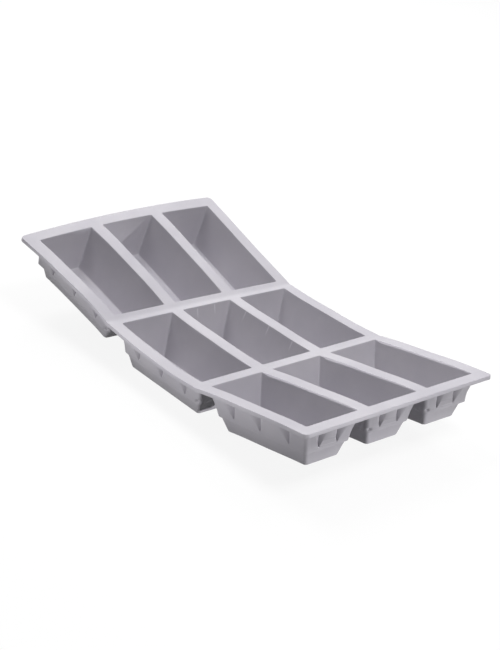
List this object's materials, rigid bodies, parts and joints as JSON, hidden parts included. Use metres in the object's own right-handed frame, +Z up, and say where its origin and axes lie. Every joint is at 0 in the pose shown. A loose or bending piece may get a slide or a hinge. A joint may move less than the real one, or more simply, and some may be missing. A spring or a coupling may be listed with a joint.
{
  "type": "silicone mini cake mould",
  "caption": "Flexible silicone baking mould: tapered mini loaf cups with fluted outer walls hang in a thin flat rim that bows up along its length.",
  "frame": {"origin": "middle of the underside of the middle cup, on the plane that the middle row stands on", "axes": "+X along the mould to the front row, +Y across it to the right column, +Z up out of the cups"},
  "size_m": [0.2969, 0.17, 0.0583],
  "materials": {
    "silicone": "matte"
  },
  "bodies": {
    "middle_row": {"middle_rim": "silicone", "middle_left_cup": "silicone", "middle_centre_cup": "silicone", "middle_right_cup": "silicone", "back_flex_web": "silicone", "front_flex_web": "silicone"},
    "back_row": {"back_rim": "silicone", "back_left_cup": "silicone", "back_centre_cup": "silicone", "back_right_cup": "silicone"},
    "front_row": {"front_rim": "silicone", "front_left_cup": "silicone", "front_centre_cup": "silicone", "front_right_cup": "silicone"},
    "back_left_base": {"back_left_base": "silicone"},
    "back_centre_base": {"back_centre_base": "silicone"},
    "back_right_base": {"back_right_base": "silicone"},
    "middle_left_base": {"middle_left_base": "silicone"},
    "middle_centre_base": {"middle_centre_base": "silicone"},
    "middle_right_base": {"middle_right_base": "silicone"},
    "front_left_base": {"front_left_base": "silicone"},
    "front_centre_base": {"front_centre_base": "silicone"},
    "front_right_base": {"front_right_base": "silicone"}
  },
  "joints": [
    {"name": "back_flex", "type": "hinge", "parent": "middle_row", "child": "back_row", "pos_m": [-0.04875, 0, 0.0299], "axis": [0, 1, 0], "range_deg": [-15.5, 74.5]},
    {"name": "front_flex", "type": "hinge", "parent": "middle_row", "child": "front_row", "pos_m": [0.04875, 0, 0.0299], "axis": [0, -1, 0], "range_deg": [-11.2, 78.8]},
    {"name": "push_back_left", "type": "slide", "parent": "back_row", "child": "back_left_base", "axis": [0.2672, 0, 0.9636], "range_m": [0, 0.008], "stiffness_N_per_m": 600},
    {"name": "push_back_centre", "type": "slide", "parent": "back_row", "child": "back_centre_base", "axis": [0.2672, 0, 0.9636], "range_m": [0, 0.008], "stiffness_N_per_m": 600},
    {"name": "push_back_right", "type": "slide", "parent": "back_row", "child": "back_right_base", "axis": [0.2672, 0, 0.9636], "range_m": [0, 0.008], "stiffness_N_per_m": 600},
    {"name": "push_middle_left", "type": "slide", "parent": "middle_row", "child": "middle_left_base", "axis": [0, 0, 1], "range_m": [0, 0.008], "stiffness_N_per_m": 600},
    {"name": "push_middle_centre", "type": "slide", "parent": "middle_row", "child": "middle_centre_base", "axis": [0, 0, 1], "range_m": [0, 0.008], "stiffness_N_per_m": 600},
    {"name": "push_middle_right", "type": "slide", "parent": "middle_row", "child": "middle_right_base", "axis": [0, 0, 1], "range_m": [0, 0.008], "stiffness_N_per_m": 600},
    {"name": "push_front_left", "type": "slide", "parent": "front_row", "child": "front_left_base", "axis": [-0.1942, 0, 0.981], "range_m": [0, 0.008], "stiffness_N_per_m": 600},
    {"name": "push_front_centre", "type": "slide", "parent": "front_row", "child": "front_centre_base", "axis": [-0.1942, 0, 0.981], "range_m": [0, 0.008], "stiffness_N_per_m": 600},
    {"name": "push_front_right", "type": "slide", "parent": "front_row", "child": "front_right_base", "axis": [-0.1942, 0, 0.981], "range_m": [0, 0.008], "stiffness_N_per_m": 600}
  ]
}
